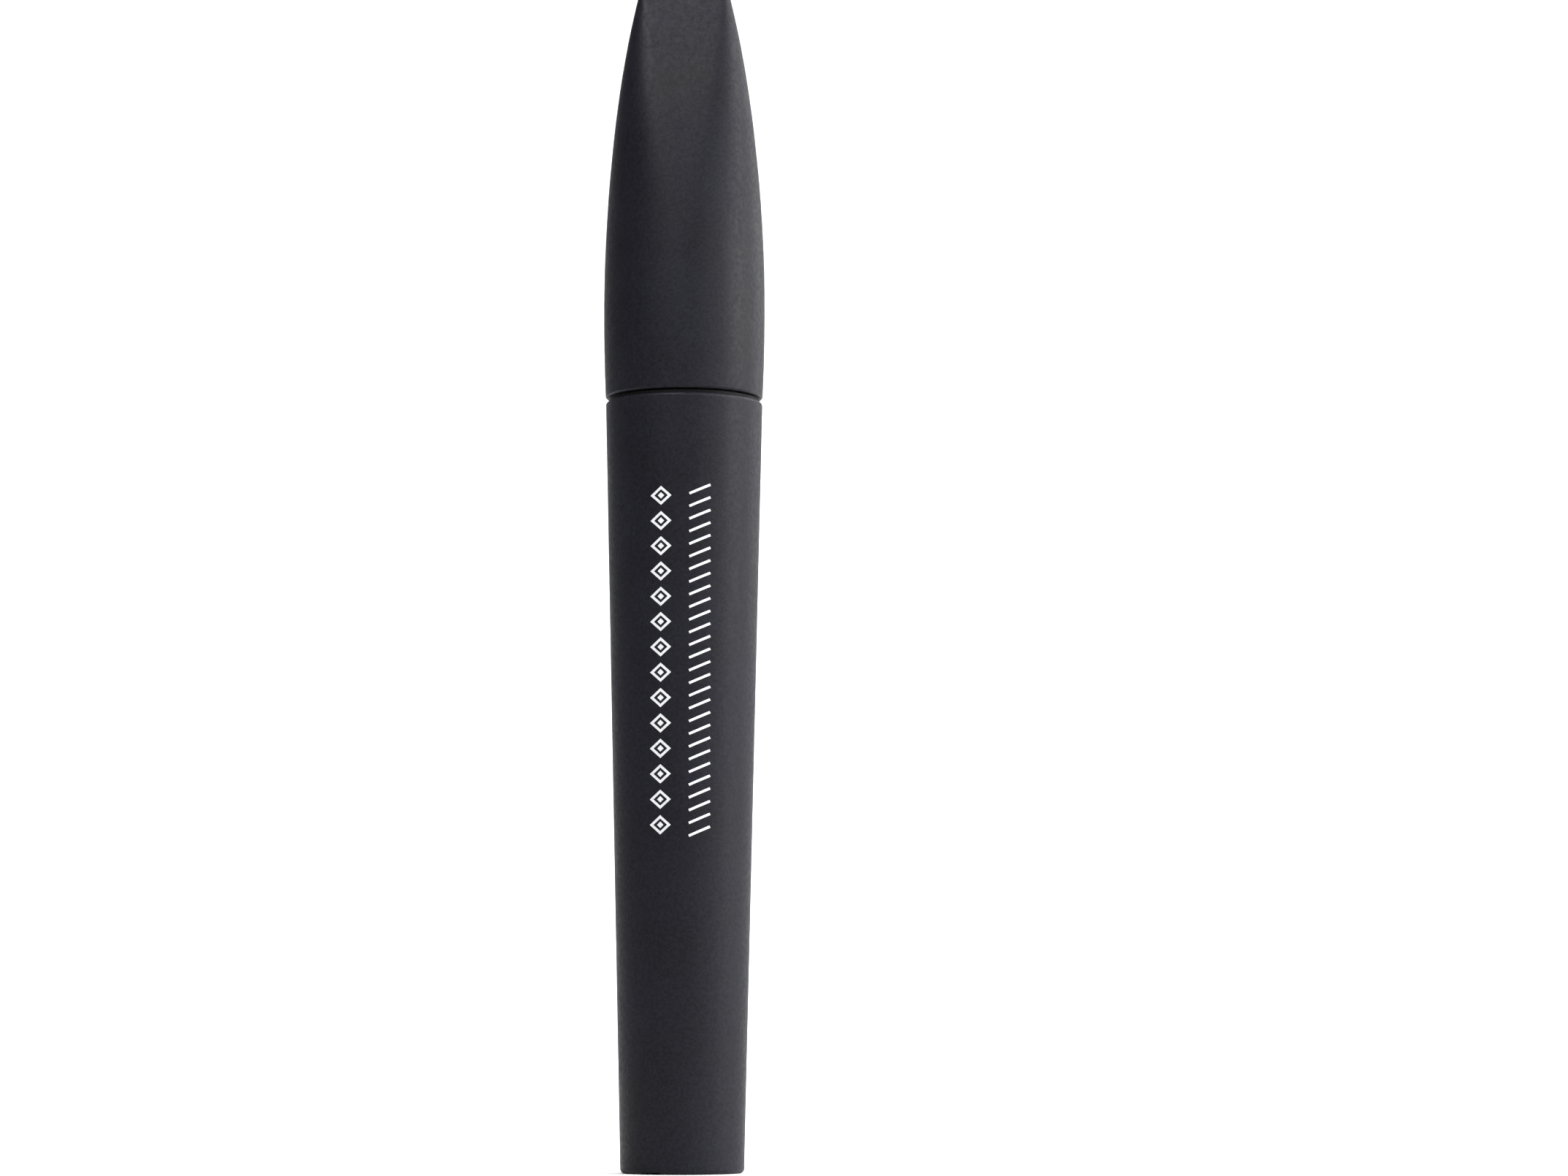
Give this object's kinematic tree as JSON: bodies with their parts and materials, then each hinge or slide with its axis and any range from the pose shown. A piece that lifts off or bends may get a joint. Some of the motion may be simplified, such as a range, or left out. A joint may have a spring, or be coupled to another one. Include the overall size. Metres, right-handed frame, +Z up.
{
  "type": "mascara tube",
  "caption": "Slim tapered mascara tube with a square-to-round cap, a lug closure and a draw-out wand carrying a twisted-wire brush.",
  "frame": {"origin": "centre of the tube's flat base", "axes": "+Z up along the tube's axis towards the cap, -Y to the printed front, +X to the right seen from the front"},
  "size_m": [0.0179, 0.018, 0.13],
  "materials": {
    "soft_touch": "fine-grained matte soft-touch lacquer, black with a blue tint",
    "gloss_black": "moulded gloss",
    "bottle_plastic": "moulded, semi-gloss",
    "wiper_plastic": "soft satin",
    "seal_foam": "closed-cell foam",
    "steel_wire": "drawn wire",
    "bristle_nylon": "glossy filaments",
    "paste": "wet, glossy"
  },
  "bodies": {
    "tube": {"outer_sleeve": "soft_touch", "inner_bottle": "bottle_plastic", "collar": "gloss_black", "wiper": "wiper_plastic", "mascara_paste": "paste"},
    "seal": {"seal_washer": "seal_foam"},
    "applicator": {"overcap": "soft_touch", "inner_cap": "gloss_black", "rod": "gloss_black", "core_wire": "steel_wire", "bristles": "bristle_nylon"}
  },
  "joints": [
    {"name": "wand_draw", "type": "slide", "parent": "tube", "child": "seal", "axis": [0, 0, 1], "range_m": [0, 0.097], "deforming": ["bristles"]},
    {"name": "cap_turn", "type": "hinge", "parent": "seal", "child": "applicator", "pos_m": [0, 0, 0], "axis": [0, 0, 1], "range_deg": [-45, 0]}
  ]
}
